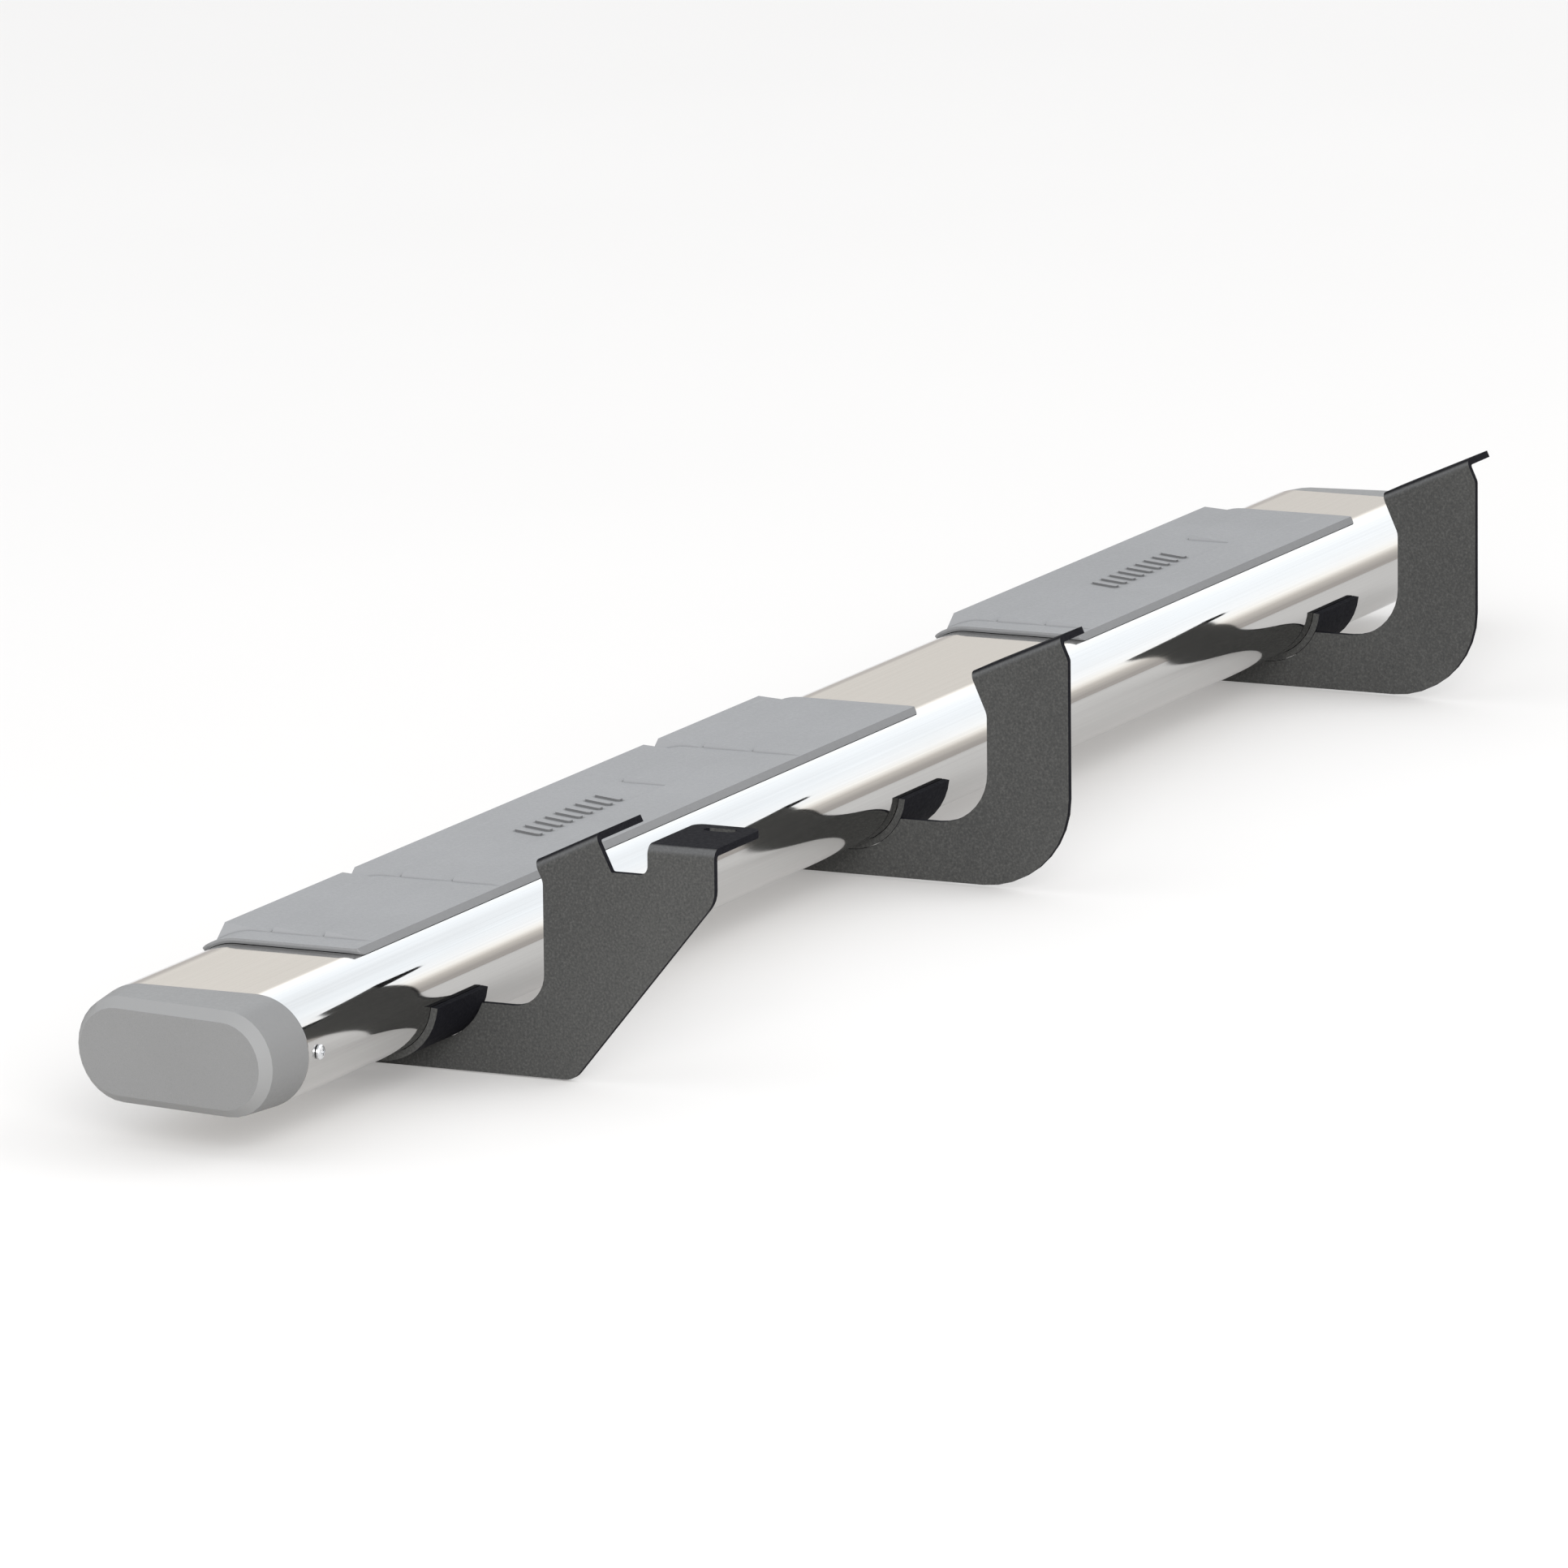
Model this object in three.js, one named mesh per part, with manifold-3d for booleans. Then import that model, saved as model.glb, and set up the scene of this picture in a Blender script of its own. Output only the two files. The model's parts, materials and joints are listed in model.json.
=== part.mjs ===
// Oval-tube running board for a light truck, left-hand side, with its three under-body brackets.
// Units are millimetres. X runs along the board from the front end to the rear end, Y points away
// from the vehicle and Z points up. The origin is on the top face of the front bracket's level tab.

import * as THREE from 'three';
import { mergeVertices } from 'three/addons/utils/BufferGeometryUtils.js';
import Module from 'manifold-3d';

const wasm = await Module();
wasm.setup();

// ---------------------------------------------------------------- driving dimensions

const GAP = 0.3;                    // clearance kept between touching pieces

const TUBE_WIDTH = 152.4;           // six inch oval tube
const TUBE_HEIGHT = 72.6;
const TUBE_WALL = 2.0;
const TUBE_HALF_LENGTH = 912.9;
const ROUND = TUBE_HEIGHT / 2;      // radius of the tube's two round edges
const FLAT = TUBE_WIDTH / 2 - ROUND; // half width of the tube's flat top and bottom

const CAP_BAND_REACH = 33.2;         // how far the cap's band stands out past the tube, on its axis
const CAP_BAND_DRAFT = 2.5;         // how much the band closes in towards its outer edge
const CAP_PLAN_SLANT = 0.155;       // the cap reaches further on the vehicle side
const CAP_BEVEL_DEPTH = 8.4;
const CAP_BEVEL_INSET = 6;
const CAP_SKIRT_LENGTH = 34;
const CAP_SKIRT_WALL = 2.6;

const CAP_SCREW_FROM_END = 13;      // screw axis, measured from the tube's end
const CAP_SCREW_HEAD_RADIUS = 4.8;
const CAP_SCREW_SHANK_RADIUS = 2.1;
const OUTER_SCREW_ANGLE = 38;       // degrees from straight down, on the outer round edge

const PAD_THICKNESS = 3.2;
const PAD_INNER_EDGE = -48.9;
const PAD_INNER_BEVEL = 3.4;
const PAD_BEVEL_BREAK = { inward: 2.6, down: 1.1 }; // where the inner bevel turns flatter
const PAD_WRAP_ANGLE = 44;          // degrees the pad follows the outer round edge downwards
const PAD_CORNER = 12;
const TREAD_RISE = 3;               // height of each step between two tread lanes
const TREAD_RAMP = 1.3;             // how far a lane's end leans back for each millimetre it rises
const LANE_EDGES = [PAD_INNER_EDGE + PAD_INNER_BEVEL, -10.3, 26.4, 61.5];

const LONG_PAD = { from: -785, to: 57 };
const LONG_SECTIONS = [[-761, -588], [-578.5, -141], [-126, 40]];
const LONG_BADGE = { section: 1, from: -465, to: -250, centre: -362 };
const SHORT_PAD = { from: 329, to: 815 };
const SHORT_SECTIONS = [[352.5, 799.5]];
const SHORT_BADGE = { section: 0, from: 478, to: 685.5, centre: 565 };
const BADGE_BARS = 9;
const BADGE_PITCH = 15;
const BADGE_LINE = 11.5;            // the badge's middle, across the board
const BADGE_RELIEF = 1.4;
const BADGE_BAR = { width: 5.5, reach: 11, lean: 7, corner: 1.5 }; // reach and lean are half sizes

const CLIP_POCKET = { radius: 6.6, length: 3.2 }; // centred on the pad's underside

const PLATE = 4.8;                  // bracket web plate
const SADDLE_PLATE = 4.5;
const SADDLE_LENGTH = 72;
const SADDLE_OUTER_END = 41.2;
const SADDLE_LIP_ANGLE = 84;        // degrees the lip wraps the inner round edge
const SADDLE_TOP = -ROUND - GAP;
const SADDLE_BOTTOM = SADDLE_TOP - SADDLE_PLATE;
const LIP_OUTSIDE = ROUND + GAP + SADDLE_PLATE;

const BEND_RADIUS = 6.8;            // outside radius of the bent flanges
const HOOK_FLANGE_TILT = 24;        // degrees the slanted flanges rise towards the vehicle
const FRONT_TAB_TILT = 25.5;
const SLOT_WIDTH = 9;

const FRONT_WEB_X = -676;           // face of each web plate that looks forward
const MID_WEB_X = -36.7;
const REAR_WEB_X = 672.7;

const BOLT_RADIUS = 4;              // M8 hardware
const SLOT_ROW_SPACING = 38.4;
const FIRST_SLOT_ROW = 23;          // measured from the saddle's edge at its web
const FRONT_FIRST_SLOT_ROW = 17;
const BOLTED_LINE = -5.5;           // the slots in use
const SPARE_LINE = -30.8;           // the slots left free, for adjustment
const SADDLE_SLOT_LENGTH = 13;

// the level tab's seating point, which the part's frame starts from
const SEAT = new THREE.Vector3(-645, -219.5, 97.5);

// ---------------------------------------------------------------- materials

function material(color, roughness, metalness) {
  return new THREE.MeshStandardMaterial({ color, roughness, metalness });
}

const polishedSteel = () => material(0xc9c6c2, 0.16, 1.0);
const greyPolymer = () => material(0x9fa1a4, 0.62, 0.0);
const capPolymer = () => material(0x98989a, 0.58, 0.0);
const blackPowderCoat = () => material(0x34353a, 0.6, 0.15);
const zincSteel = () => material(0xb9bcc0, 0.35, 1.0);
const blackNylon = () => material(0x1c1c1e, 0.55, 0.0);

// ---------------------------------------------------------------- solids

const radians = THREE.MathUtils.degToRad;

function solidOf(geometry, matrix) {
  const bare = geometry.index ? geometry.toNonIndexed() : geometry.clone();
  bare.deleteAttribute('normal');
  bare.deleteAttribute('uv');
  if (matrix) bare.applyMatrix4(matrix);
  const merged = mergeVertices(bare, 1e-4);
  const mesh = new wasm.Mesh({
    numProp: 3,
    vertProperties: new Float32Array(merged.attributes.position.array),
    triVerts: new Uint32Array(merged.index.array),
  });
  mesh.merge();
  return new wasm.Manifold(mesh);
}

function geometryOf(solid) {
  const mesh = solid.getMesh();
  const geometry = new THREE.BufferGeometry();
  const points = new Float32Array(mesh.triVerts.length * 3);
  mesh.triVerts.forEach((vertex, i) => {
    for (let axis = 0; axis < 3; axis += 1) {
      points[i * 3 + axis] = mesh.vertProperties[vertex * mesh.numProp + axis];
    }
  });
  geometry.setAttribute('position', new THREE.BufferAttribute(points, 3));
  geometry.computeVertexNormals();
  return geometry;
}

// a matrix whose columns are the three given directions and the given place
function frameMatrix(x, y, z, place = [0, 0, 0]) {
  const matrix = new THREE.Matrix4().makeBasis(
    new THREE.Vector3(...x),
    new THREE.Vector3(...y),
    new THREE.Vector3(...z),
  );
  return matrix.setPosition(...place);
}

// extrudes a closed outline of (u, v) points, and stands it where the matrix says
function prism(outline, depth, matrix, holes = []) {
  const shape = new THREE.Shape(outline.map(([u, v]) => new THREE.Vector2(u, v)));
  holes.forEach((hole) => {
    shape.holes.push(new THREE.Path(hole.map(([u, v]) => new THREE.Vector2(u, v))));
  });
  return solidOf(new THREE.ExtrudeGeometry(shape, { depth, bevelEnabled: false }), matrix);
}

// extrudes a closed outline of (y, z) points along X
function alongX(outline, from, to, holes = []) {
  return prism(outline, to - from, frameMatrix([0, 1, 0], [0, 0, 1], [1, 0, 0], [from, 0, 0]), holes);
}

// points along an arc, from one angle to another, in degrees counter-clockwise from +Y
function arc(cy, cz, radius, fromDegrees, toDegrees, steps) {
  return Array.from({ length: steps + 1 }, (unused, i) => {
    const angle = radians(fromDegrees + ((toDegrees - fromDegrees) * i) / steps);
    return [cy + radius * Math.cos(angle), cz + radius * Math.sin(angle)];
  });
}

// the oval: two half circles joined by flats, drawn inset from the tube's outside
function oval(inset = 0, steps = 16) {
  const radius = ROUND - inset;
  return [...arc(FLAT, 0, radius, -90, 90, steps), ...arc(-FLAT, 0, radius, 90, 270, steps)];
}

// a polygon whose corners are rounded: each corner is [u, v, radius]
function rounded(corners, stepDegrees = 12) {
  const count = corners.length;
  const toPoint = ([u, v]) => new THREE.Vector2(u, v);
  return corners.flatMap(([u, v, radius], i) => {
    if (!radius) return [[u, v]];
    const here = toPoint([u, v]);
    const before = toPoint(corners[(i + count - 1) % count]).sub(here).normalize();
    const after = toPoint(corners[(i + 1) % count]).sub(here).normalize();
    const opening = Math.acos(THREE.MathUtils.clamp(before.dot(after), -1, 1));
    const inward = before.clone().add(after).normalize();
    const centre = inward.multiplyScalar(radius / Math.sin(opening / 2)).add(here);
    const start = before.clone().multiplyScalar(radius / Math.tan(opening / 2)).add(here).sub(centre);
    const end = after.clone().multiplyScalar(radius / Math.tan(opening / 2)).add(here).sub(centre);
    const turn = Math.atan2(start.x * end.y - start.y * end.x, start.dot(end));
    const steps = Math.max(2, Math.round(Math.abs(turn) / radians(stepDegrees)));
    return Array.from({ length: steps + 1 }, (unused, k) => {
      const point = start.clone().rotateAround(new THREE.Vector2(), (turn * k) / steps).add(centre);
      return [point.x, point.y];
    });
  });
}

// a slot with round ends, long along v
function slotOutline(middleU, middleV, length) {
  const half = length / 2;
  const width = SLOT_WIDTH / 2;
  const corners = [[-width, -half], [width, -half], [width, half], [-width, half]];
  return rounded(corners.map(([u, v]) => [middleU + u, middleV + v, width - 0.01]), 30);
}

// stands a piece that was made along +Y at a place, pointing in a direction
function standing(direction, place) {
  const turn = new THREE.Quaternion().setFromUnitVectors(
    new THREE.Vector3(0, 1, 0),
    new THREE.Vector3(...direction).normalize(),
  );
  return new THREE.Matrix4().compose(new THREE.Vector3(...place), turn, new THREE.Vector3(1, 1, 1));
}

// a round bar through a place, used as a cutter
function bar(radius, length, direction, middle, sides = 12) {
  return solidOf(new THREE.CylinderGeometry(radius, radius, length, sides), standing(direction, middle));
}

// a turned piece: [radius, height] profile around an axis, standing at a place
function turned(profile, direction, place, sides) {
  const points = profile.map(([radius, height]) => new THREE.Vector2(radius, height));
  return solidOf(new THREE.LatheGeometry(points, sides), standing(direction, place));
}

// ---------------------------------------------------------------- assembly

const board = new THREE.Group();
board.position.copy(SEAT).negate();

function addPiece(name, solid, look) {
  const mesh = new THREE.Mesh(geometryOf(solid), look);
  mesh.name = name;
  board.add(mesh);
}

// ---------------------------------------------------------------- where the fasteners go

// the front bracket's saddle reaches forward from its web, the other two reach rearward
const BRACKETS = [
  { name: 'front', web: FRONT_WEB_X, edge: FRONT_WEB_X + PLATE, reach: -1, firstRow: FRONT_FIRST_SLOT_ROW },
  { name: 'mid', web: MID_WEB_X, edge: MID_WEB_X, reach: 1, firstRow: FIRST_SLOT_ROW },
  { name: 'rear', web: REAR_WEB_X, edge: REAR_WEB_X, reach: 1, firstRow: FIRST_SLOT_ROW },
];

// the two places along X where a saddle has its pairs of slots
function slotRows({ edge, reach, firstRow }) {
  return [edge + reach * firstRow, edge + reach * (firstRow + SLOT_ROW_SPACING)];
}

const bolts = BRACKETS.flatMap((bracket) => slotRows(bracket).map((x, i) => ({
  name: `${bracket.name}_${i + 1}`,
  x,
  y: BOLTED_LINE,
})));

const outerScrew = radians(OUTER_SCREW_ANGLE);
const screws = [-1, 1].flatMap((end) => {
  const x = end * (TUBE_HALF_LENGTH - CAP_SCREW_FROM_END);
  const where = end < 0 ? 'front' : 'rear';
  const down = [0, Math.sin(outerScrew), -Math.cos(outerScrew)];
  return [
    { name: `cap_screw_${where}_inner`, out: [0, -1, 0], seat: [x, -FLAT - ROUND, 0] },
    { name: `cap_screw_${where}_outer`, out: down, seat: [x, FLAT + ROUND * down[1], ROUND * down[2]] },
  ];
});

const padClips = [
  [-735, 5], [-610, -28], [-480, 12], [-240, -28], [-75, 5], [15, -28],
  [375, 5], [455, -28], [705, 12], [780, -28],
].map(([x, y], i) => ({ name: `pad_clip_${i + 1}`, x, y }));

// ---------------------------------------------------------------- tube

function makeTube() {
  let tube = alongX(oval(), -TUBE_HALF_LENGTH, TUBE_HALF_LENGTH, [oval(TUBE_WALL).reverse()]);
  bolts.forEach(({ x, y }) => {
    tube = tube.subtract(bar(5.9, 8, [0, 0, 1], [x, y, -ROUND]));
  });
  padClips.forEach(({ x, y }) => {
    tube = tube.subtract(bar(4.2, 8, [0, 0, 1], [x, y, ROUND]));
  });
  screws.forEach(({ out, seat }) => {
    tube = tube.subtract(bar(CAP_SCREW_SHANK_RADIUS + GAP, 10, out, seat));
  });
  return tube;
}

addPiece('tube', makeTube(), polishedSteel());

// ---------------------------------------------------------------- end caps

// a solid through a row of rings that all have the same number of points
function loft(rings) {
  const points = [];
  const triangles = [];
  const count = rings[0].length;
  rings.forEach((ring) => ring.forEach((point) => points.push(...point)));
  for (let r = 0; r + 1 < rings.length; r += 1) {
    for (let i = 0; i < count; i += 1) {
      const a = r * count + i;
      const b = r * count + ((i + 1) % count);
      triangles.push(a, b, b + count, a, b + count, a + count);
    }
  }
  for (let i = 1; i + 1 < count; i += 1) {
    const last = (rings.length - 1) * count;
    triangles.push(0, i + 1, i, last, last + i, last + i + 1);
  }
  const geometry = new THREE.BufferGeometry();
  geometry.setAttribute('position', new THREE.Float32BufferAttribute(points, 3));
  geometry.setIndex(triangles);
  return solidOf(geometry);
}

// one moulding serves both ends: it is made for the rear and turned over for the front
function makeCap(end) {
  const start = TUBE_HALF_LENGTH + GAP;
  const straight = (inset, x) => oval(inset).map(([y, z]) => [x, y, z]);
  const slanted = (inset, reach) => oval(inset).map(([y, z]) => (
    [TUBE_HALF_LENGTH + reach - CAP_PLAN_SLANT * y, y, z]
  ));
  const outside = loft([
    straight(0, start),
    slanted(CAP_BAND_DRAFT, CAP_BAND_REACH),
    slanted(CAP_BAND_DRAFT + CAP_BEVEL_INSET, CAP_BAND_REACH + CAP_BEVEL_DEPTH),
  ]);
  const skirtInset = TUBE_WALL + GAP;
  const skirtEnd = TUBE_HALF_LENGTH - CAP_SKIRT_LENGTH;
  const skirt = loft([straight(skirtInset, skirtEnd), straight(skirtInset, start + 3)]);
  const hollowInset = skirtInset + CAP_SKIRT_WALL;
  const hollow = loft([
    straight(hollowInset, skirtEnd - 5),
    slanted(hollowInset + 1, CAP_BAND_REACH - 2),
    slanted(hollowInset + CAP_BEVEL_INSET, CAP_BAND_REACH + CAP_BEVEL_DEPTH - 3.5),
  ]);
  const turn = new THREE.Matrix4().makeRotationY(end < 0 ? Math.PI : 0);
  let cap = solidOf(geometryOf(outside.add(skirt).subtract(hollow)), turn);
  screws.filter(({ seat }) => Math.sign(seat[0]) === end).forEach(({ out, seat }) => {
    cap = cap.subtract(bar(CAP_SCREW_SHANK_RADIUS + GAP, 24, out, seat));
  });
  return cap;
}

addPiece('end_cap_front', makeCap(-1), capPolymer());
addPiece('end_cap_rear', makeCap(1), capPolymer());

// pan-head screw with a cross recess, its shank running inwards through tube and skirt
function makeScrew({ out, seat }) {
  const under = 0.15 + GAP;
  const shank = CAP_SCREW_SHANK_RADIUS;
  const head = CAP_SCREW_HEAD_RADIUS;
  const profile = [
    [0, -11], [shank, -8.5], [shank, under], [head, under],
    [head, 1.6], [head - 0.7, 2.5], [2.6, 3.1], [0, 3.3],
  ];
  let screw = turned(profile, out, seat, 14);
  const axis = new THREE.Vector3(...out);
  const along = new THREE.Vector3(1, 0, 0);
  const across = new THREE.Vector3().crossVectors(axis, along);
  const place = axis.clone().multiplyScalar(3.1).add(new THREE.Vector3(...seat)).toArray();
  [along, across].forEach((direction) => {
    const other = new THREE.Vector3().crossVectors(axis, direction);
    const cutter = new THREE.BoxGeometry(4.6, 1.0, 2.6);
    const matrix = frameMatrix(direction.toArray(), other.toArray(), axis.toArray(), place);
    screw = screw.subtract(solidOf(cutter, matrix));
  });
  return screw;
}

screws.forEach((screw) => addPiece(screw.name, makeScrew(screw), zincSteel()));

// ---------------------------------------------------------------- step pads

// the mat that lies on the tube: flat on top, drawn down over the outer round edge
function padSection() {
  const under = ROUND + GAP;
  const upper = under + PAD_THICKNESS;
  const innerTurn = 90 + THREE.MathUtils.radToDeg(Math.asin((-FLAT - PAD_INNER_EDGE) / under));
  return [
    ...arc(-FLAT, 0, under, innerTurn, 90, 2),
    ...arc(FLAT, 0, under, 90, 90 - PAD_WRAP_ANGLE, 8),
    ...arc(FLAT, 0, upper, 90 - PAD_WRAP_ANGLE, 90, 8),
    [PAD_INNER_EDGE + PAD_INNER_BEVEL, upper],
    [PAD_INNER_EDGE + PAD_BEVEL_BREAK.inward, upper - PAD_BEVEL_BREAK.down],
  ].reverse();
}

// one saw-tooth lane, buried a little in the mat and rising to its outer edge
function laneSection(from, to) {
  const surface = ROUND + GAP + PAD_THICKNESS;
  const buried = ROUND + GAP + PAD_THICKNESS / 2;
  const top = [[to, surface + TREAD_RISE], [from, surface], [from, buried]];
  if (to < FLAT) return [...top, [to, buried]];
  const end = 90 - THREE.MathUtils.radToDeg(Math.asin((to - FLAT) / buried));
  return [...top, ...arc(FLAT, 0, buried, 90, end, 6)];
}

// a lane of the tread between two feet on the mat, with both ends leaning back
function makeLane([inner, outer], from, to) {
  const surface = ROUND + GAP + PAD_THICKNESS;
  const spare = 10;
  return alongX(laneSection(inner, outer), from - spare, to + spare)
    .trimByPlane([1, 0, -TREAD_RAMP], (from - TREAD_RAMP * surface) / Math.hypot(1, TREAD_RAMP))
    .trimByPlane([-1, 0, -TREAD_RAMP], (-to - TREAD_RAMP * surface) / Math.hypot(1, TREAD_RAMP));
}

// rounds the mat's four corners: two seen from above, two where it wraps the outer edge
function trimCorners(mat, pad) {
  const middle = (pad.from + pad.to) / 2;
  const half = (pad.to - pad.from) / 2;
  const inner = PAD_INNER_EDGE - 1;
  const plan = rounded([[-half, inner, 8], [half, inner, 8], [half, 120, 0], [-half, 120, 0]]);
  const skirt = rounded([[-half, -150, 0], [half, -150, 0], [half, 0, PAD_CORNER], [-half, 0, PAD_CORNER]]);
  const wrapEnd = radians(PAD_WRAP_ANGLE);
  const outward = [0, Math.cos(wrapEnd), -Math.sin(wrapEnd)];
  const lift = [0, Math.sin(wrapEnd), Math.cos(wrapEnd)];
  const below = ROUND + GAP - 120;
  const place = [middle, FLAT + below * lift[1], below * lift[2]];
  return mat
    .intersect(prism(plan, 100, new THREE.Matrix4().setPosition(middle, 0, 0)))
    .intersect(prism(skirt, 240, frameMatrix([1, 0, 0], outward, lift, place)));
}

function makePad(pad, sections, badge) {
  let mat = trimCorners(alongX(padSection(), pad.from, pad.to), pad);

  // the middle lane stops short of the open patch that holds the badge
  const lanes = LANE_EDGES.slice(1).map((outer, i) => [LANE_EDGES[i], outer]);
  sections.forEach(([from, to], s) => {
    lanes.forEach((lane, i) => {
      const open = s === badge.section && i === 1;
      const stretches = open ? [[from, badge.from], [badge.to, to]] : [[from, to]];
      stretches.forEach(([a, b]) => {
        mat = mat.add(makeLane(lane, a, b));
      });
    });
  });

  // the badge is a plain row of raised slanted bars
  const { width, reach, lean, corner } = BADGE_BAR;
  const outline = rounded([
    [-lean, -reach, corner],
    [width - lean, -reach, corner],
    [lean, reach, corner],
    [lean - width, reach, corner],
  ], 45);
  const buried = ROUND + GAP + PAD_THICKNESS - 1;
  for (let i = 0; i < BADGE_BARS; i += 1) {
    const x = badge.centre + (i - (BADGE_BARS - 1) / 2) * BADGE_PITCH;
    mat = mat.add(prism(outline, 1 + BADGE_RELIEF, new THREE.Matrix4().setPosition(x, BADGE_LINE, buried)));
  }

  padClips.filter(({ x }) => x > pad.from && x < pad.to).forEach(({ x, y }) => {
    mat = mat.subtract(bar(CLIP_POCKET.radius, CLIP_POCKET.length, [0, 0, 1], [x, y, ROUND + GAP]));
  });
  return mat;
}

addPiece('step_pad_long', makePad(LONG_PAD, LONG_SECTIONS, LONG_BADGE), greyPolymer());
addPiece('step_pad_short', makePad(SHORT_PAD, SHORT_SECTIONS, SHORT_BADGE), greyPolymer());

// push-in clip: a disc held in the pad's underside, a stem and a barb inside the tube
padClips.forEach(({ name, x, y }) => {
  const profile = [
    [0, -9], [1.6, -9], [3.9, -TUBE_WALL - 2.6], [3.9, -TUBE_WALL - GAP], [3.6, -TUBE_WALL - GAP],
    [3.6, GAP], [6.2, GAP], [6.2, GAP + 1.2], [0, GAP + 1.2],
  ];
  addPiece(name, turned(profile, [0, 0, 1], [x, y, ROUND], 10), blackNylon());
});

// ---------------------------------------------------------------- bracket webs

// height of a slanted flange's top plane above a given y, through one known point
const slantedTop = (y, known, tilt) => known[1] - (y - known[0]) * Math.tan(tilt);

// a point the given distance below another, square to a slanted flange
const below = ([y, z], distance, tilt) => [y - Math.sin(tilt) * distance, z - Math.cos(tilt) * distance];

// a bent flange and the top of the web below it: an L section run along the bend line
function bentFlange(webX, start, { length, tilt, reach, slots, corner }) {
  const inside = BEND_RADIUS - PLATE;
  const leg = 12;
  const section = [
    [0, -leg],
    [PLATE, -leg],
    ...arc(BEND_RADIUS, -BEND_RADIUS, inside, 180, 90, 4),
    [reach, -PLATE],
    [reach, 0],
    ...arc(BEND_RADIUS, -BEND_RADIUS, BEND_RADIUS, 90, 180, 6),
  ];
  const along = [0, Math.cos(tilt), -Math.sin(tilt)];
  const back = along.map((c) => -c);
  const up = [0, Math.sin(tilt), Math.cos(tilt)];
  const farEnd = [webX, start[0] + along[1] * length, start[1] + along[2] * length];
  const flange = prism(section, length, frameMatrix([1, 0, 0], up, back, farEnd));
  const plan = rounded([[-5, 0, 0], [reach, 0, corner], [reach, length, corner], [-5, length, 0]]);
  const holes = slots.map(({ at, middle, long }) => slotOutline(at, middle, long));
  const under = [webX, start[0] - up[1] * 50, start[1] - up[2] * 50];
  return flange.intersect(prism(plan, 60, frameMatrix([1, 0, 0], along, up, under), holes));
}

// where the web's edge meets the saddle: the underside, then the lip's outer curve up to a height
function saddleSeat(topHeight) {
  const radius = LIP_OUTSIDE + GAP;
  const last = THREE.MathUtils.radToDeg(Math.asin(-topHeight / radius));
  return arc(-FLAT, 0, radius, 270, 180 + last, 8);
}

function makeHookWeb(webX) {
  const tilt = radians(HOOK_FLANGE_TILT);
  const known = [-160.5, 100.5];
  const bottom = -58.2;
  const armTop = -17.6;
  const innerEdge = -141.4;
  const outerEdge = -201.1;
  const flangeLeft = [-194, slantedTop(-194, known, tilt)];
  const flangeRight = [-129, slantedTop(-129, known, tilt)];
  const outline = rounded([
    [17, SADDLE_BOTTOM - GAP, 0],
    ...saddleSeat(armTop).map(([y, z]) => [y, z, 0]),
    [innerEdge, armTop, 36],
    [...below(flangeRight, (flangeRight[0] - innerEdge) / Math.sin(tilt), tilt), 12],
    [...below(flangeRight, BEND_RADIUS, tilt), 0],
    [...below(flangeLeft, BEND_RADIUS, tilt), 0],
    [...below(flangeLeft, (flangeLeft[0] - outerEdge) / Math.sin(tilt), tilt), 6],
    [outerEdge, bottom, 63],
    [17, bottom, 9],
  ], 10).reverse();
  const flange = bentFlange(webX, flangeLeft, {
    length: (flangeRight[0] - flangeLeft[0]) / Math.cos(tilt),
    tilt,
    reach: 47,
    slots: [{ at: 31, middle: 16.5, long: 20 }, { at: 31, middle: 51.5, long: 20 }],
    corner: 10,
  });
  return alongX(outline, webX, webX + PLATE).add(flange);
}

function makeFrontWeb(webX) {
  const tilt = radians(FRONT_TAB_TILT);
  const known = [-138, 91];
  const bottom = -59.2;
  const armTop = -14.1;
  const innerEdge = -122.8;
  const outerEdge = -242.8;
  const notchFloor = 77.5;
  const levelTop = SEAT.z;
  const tabLeft = [-159.6, slantedTop(-159.6, known, tilt)];
  const tabRight = [-116.6, slantedTop(-116.6, known, tilt)];
  const outline = rounded([
    [17, SADDLE_BOTTOM - GAP, 0],
    ...saddleSeat(armTop).map(([y, z]) => [y, z, 0]),
    [innerEdge, armTop, 22],
    [...below(tabRight, (tabRight[0] - innerEdge) / Math.sin(tilt), tilt), 12],
    [...below(tabRight, BEND_RADIUS, tilt), 0],
    [...below(tabLeft, BEND_RADIUS, tilt), 0],
    [...below(tabLeft, (tabLeft[1] - notchFloor) / Math.cos(tilt), tilt), 1.5],
    [-196.3, notchFloor, 6],
    [-196.3, levelTop - BEND_RADIUS, 0],
    [outerEdge, levelTop - BEND_RADIUS, 0],
    [outerEdge, 63.6, 20],
    [-142.4, bottom, 12],
    [17, bottom, 9],
  ], 10).reverse();
  const slantedTab = bentFlange(webX, tabLeft, {
    length: (tabRight[0] - tabLeft[0]) / Math.cos(tilt),
    tilt,
    reach: 71.5,
    slots: [{ at: 58.5, middle: 25, long: 23 }],
    corner: 6,
  });
  const levelTab = bentFlange(webX, [outerEdge, levelTop], {
    length: 46.5,
    tilt: 0,
    reach: 71.5,
    slots: [{ at: 58, middle: 23.2, long: 22.5 }],
    corner: 7,
  });
  return alongX(outline, webX, webX + PLATE).add(slantedTab).add(levelTab);
}

// ---------------------------------------------------------------- saddles

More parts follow.
